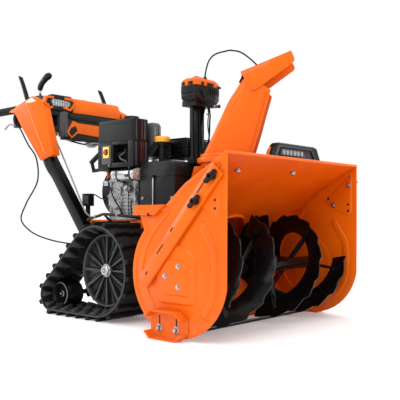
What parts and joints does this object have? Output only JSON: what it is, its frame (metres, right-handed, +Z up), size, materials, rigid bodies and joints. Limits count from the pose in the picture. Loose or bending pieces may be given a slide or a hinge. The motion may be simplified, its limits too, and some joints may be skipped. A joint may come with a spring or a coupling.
{
  "type": "snow blower",
  "caption": "Walk-behind two-stage snow blower on rubber tracks, with serrated augers, a turning discharge chute with a tilting cap, engine, handlebars and a control console.",
  "frame": {"origin": "centre of the bounding box at ground level", "axes": "+X to the operator's left hand, +Y rearwards to the operator, +Z up; the intake faces -Y"},
  "size_m": [0.9, 1.59, 1.048],
  "materials": {
    "orange_paint": "glossy powder coat",
    "orange_plastic": "semi-gloss moulding",
    "black_steel": "satin black paint",
    "black_plastic": "fine moulded grain",
    "rubber": "matt moulded rubber",
    "engine_alloy": "as-cast",
    "bright_steel": "zinc plated",
    "grey_plastic": "fine moulded grain",
    "yellow_plastic": "smooth",
    "red_plastic": "smooth",
    "lamp_lens": "clear over a bright reflector"
  },
  "bodies": {
    "root": {"side_plate_right": "orange_paint", "side_plate_left": "orange_paint", "housing_back": "orange_paint", "impeller_housing": "orange_paint", "skid_shoe_right": "orange_paint", "skid_shoe_left": "orange_paint", "chassis_frame": "orange_paint", "chute_gearbox_cover": "orange_plastic", "shroud_right": "orange_plastic", "shroud_left": "orange_plastic", "console_cover": "orange_plastic", "scraper_blade": "black_steel", "auger_gearcase": "black_steel", "chute_post": "black_steel", "transaxle": "black_steel", "muffler": "black_steel", "handlebar_frame": "black_steel", "work_light": "black_plastic", "chute_gearbox": "black_plastic", "flywheel_cover": "black_plastic", "intake_cover": "black_plastic", "fuel_tank": "black_plastic", "oil_fill_tube": "black_plastic", "belt_cover": "black_plastic", "console_body": "black_plastic", "grip_right": "rubber", "grip_left": "rubber", "lock_cable": "rubber", "deflector_cable": "rubber", "engine_block": "engine_alloy", "starter_motor": "bright_steel", "engine_cowl": "grey_plastic", "headlight": "lamp_lens"},
    "augers": {"auger_right": "black_steel", "auger_left": "black_steel"},
    "impeller": {"impeller": "black_steel"},
    "chute": {"chute": "orange_paint"},
    "deflector": {"deflector": "orange_paint"},
    "chute_pinion": {"chute_pinion": "bright_steel"},
    "track_frame": {"track_frame": "black_steel", "track_belt_right": "rubber", "track_belt_left": "rubber"},
    "speed_lever": {"speed_lever": "black_plastic"},
    "lock_lever": {"lock_lever": "bright_steel"},
    "recoil_handle": {"recoil_handle": "black_plastic"},
    "stop_button": {"stop_button": "red_plastic"},
    "fuel_cap": {"fuel_cap": "black_plastic"},
    "oil_cap": {"oil_cap": "yellow_plastic"},
    "drive_wheel_right": {"drive_wheel_right": "black_plastic"},
    "idler_wheel_right": {"idler_wheel_right": "black_plastic"},
    "clutch_lever_right": {"clutch_lever_right": "black_plastic"},
    "drift_cutter_right": {"drift_cutter_right": "orange_paint"},
    "wing_knob_right_front": {"wing_knob_right_front": "black_plastic"},
    "wing_knob_right_rear": {"wing_knob_right_rear": "black_plastic"},
    "drive_wheel_left": {"drive_wheel_left": "black_plastic"},
    "idler_wheel_left": {"idler_wheel_left": "black_plastic"},
    "clutch_lever_left": {"clutch_lever_left": "black_plastic"},
    "drift_cutter_left": {"drift_cutter_left": "orange_paint"},
    "wing_knob_left_front": {"wing_knob_left_front": "black_plastic"},
    "wing_knob_left_rear": {"wing_knob_left_rear": "black_plastic"}
  },
  "joints": [
    {"name": "augers_spin", "type": "hinge", "parent": "root", "child": "augers", "pos_m": [0, -0.587, 0.212], "axis": [1, 0, 0], "continuous": true},
    {"name": "impeller_spin", "type": "hinge", "parent": "root", "child": "impeller", "pos_m": [0, -0.345, 0.232], "axis": [0, 1, 0], "continuous": true},
    {"name": "chute_turn", "type": "hinge", "parent": "root", "child": "chute", "pos_m": [0, -0.455, 0.612], "axis": [0, 0, 1], "range_deg": [-130, 62], "deforming": ["deflector_cable"]},
    {"name": "chute_pinion_turn", "type": "hinge", "parent": "root", "child": "chute_pinion", "pos_m": [-0.046, -0.327, 0.612], "axis": [0, 0, 1], "range_deg": [-372, 780]},
    {"name": "deflector_tilt", "type": "hinge", "parent": "chute", "child": "deflector", "pos_m": [0.03595, -0.51035, 0.928], "axis": [0.8387, 0.5446, 0], "range_deg": [0, 42], "deforming": ["deflector_cable"]},
    {"name": "track_swing", "type": "hinge", "parent": "root", "child": "track_frame", "pos_m": [0, -0.095, 0.19], "axis": [1, 0, 0], "range_deg": [-8, 18]},
    {"name": "drive_wheel_right_spin", "type": "hinge", "parent": "root", "child": "drive_wheel_right", "pos_m": [-0.248, -0.095, 0.19], "axis": [1, 0, 0], "continuous": true},
    {"name": "idler_wheel_right_spin", "type": "hinge", "parent": "track_frame", "child": "idler_wheel_right", "pos_m": [-0.248, 0.188, 0.078], "axis": [1, 0, 0], "continuous": true},
    {"name": "clutch_lever_right_squeeze", "type": "hinge", "parent": "root", "child": "clutch_lever_right", "pos_m": [-0.236, 0.508, 0.914], "axis": [1, 0, 0], "range_deg": [-58, 0], "stiffness_Nm_per_rad": 1, "springref_deg": 22.92},
    {"name": "drift_cutter_right_slide", "type": "slide", "parent": "root", "child": "drift_cutter_right", "axis": [0, -0.6605, 0.7508], "range_m": [0, 0.08]},
    {"name": "wing_knob_right_front_turn", "type": "hinge", "parent": "root", "child": "wing_knob_right_front", "pos_m": [-0.43, -0.755, 0.523], "axis": [-1, 0, 0], "range_deg": [0, 270]},
    {"name": "wing_knob_right_rear_turn", "type": "hinge", "parent": "root", "child": "wing_knob_right_rear", "pos_m": [-0.43, -0.687, 0.447], "axis": [-1, 0, 0], "range_deg": [0, 270]},
    {"name": "drive_wheel_left_spin", "type": "hinge", "parent": "root", "child": "drive_wheel_left", "pos_m": [0.248, -0.095, 0.19], "axis": [1, 0, 0], "continuous": true},
    {"name": "idler_wheel_left_spin", "type": "hinge", "parent": "track_frame", "child": "idler_wheel_left", "pos_m": [0.248, 0.188, 0.078], "axis": [1, 0, 0], "continuous": true},
    {"name": "clutch_lever_left_squeeze", "type": "hinge", "parent": "root", "child": "clutch_lever_left", "pos_m": [0.236, 0.508, 0.914], "axis": [1, 0, 0], "range_deg": [-58, 0], "stiffness_Nm_per_rad": 1, "springref_deg": 22.92},
    {"name": "drift_cutter_left_slide", "type": "slide", "parent": "root", "child": "drift_cutter_left", "axis": [0, -0.6605, 0.7508], "range_m": [0, 0.08]},
    {"name": "wing_knob_left_front_turn", "type": "hinge", "parent": "root", "child": "wing_knob_left_front", "pos_m": [0.43, -0.755, 0.523], "axis": [1, 0, 0], "range_deg": [0, 270]},
    {"name": "wing_knob_left_rear_turn", "type": "hinge", "parent": "root", "child": "wing_knob_left_rear", "pos_m": [0.43, -0.687, 0.447], "axis": [1, 0, 0], "range_deg": [0, 270]},
    {"name": "speed_lever_shift", "type": "hinge", "parent": "root", "child": "speed_lever", "pos_m": [-0.184, 0.488, 0.905], "axis": [1, 0, 0], "range_deg": [-18, 18]},
    {"name": "lock_lever_squeeze", "type": "hinge", "parent": "root", "child": "lock_lever", "pos_m": [-0.251, 0.589, 0.816], "axis": [1, 0, 0], "range_deg": [0, 20], "stiffness_Nm_per_rad": 0.5, "springref_deg": -22.92},
    {"name": "recoil_pull", "type": "slide", "parent": "root", "child": "recoil_handle", "axis": [0, 1, 0], "range_m": [0, 0.5], "stiffness_N_per_m": 30, "springref_m": -0.2},
    {"name": "stop_button_press", "type": "slide", "parent": "root", "child": "stop_button", "axis": [1, 0, 0], "range_m": [0, 0.004], "stiffness_N_per_m": 400, "springref_m": -0.002},
    {"name": "fuel_cap_turn", "type": "hinge", "parent": "root", "child": "fuel_cap", "pos_m": [-0.136, -0.073, 0.798], "axis": [0, 0, 1], "range_deg": [0, 120]},
    {"name": "oil_cap_turn", "type": "hinge", "parent": "root", "child": "oil_cap", "pos_m": [-0.066, -0.181, 0.71], "axis": [0, 0, 1], "range_deg": [0, 180]}
  ],
  "couplings": [
    {"joint": "impeller_spin", "follows": "augers_spin", "ratio": 10},
    {"joint": "chute_pinion_turn", "follows": "chute_turn", "ratio": -6},
    {"joint": "idler_wheel_right_spin", "follows": "drive_wheel_right_spin", "ratio": 3.1132},
    {"joint": "idler_wheel_left_spin", "follows": "drive_wheel_left_spin", "ratio": 3.1132}
  ]
}
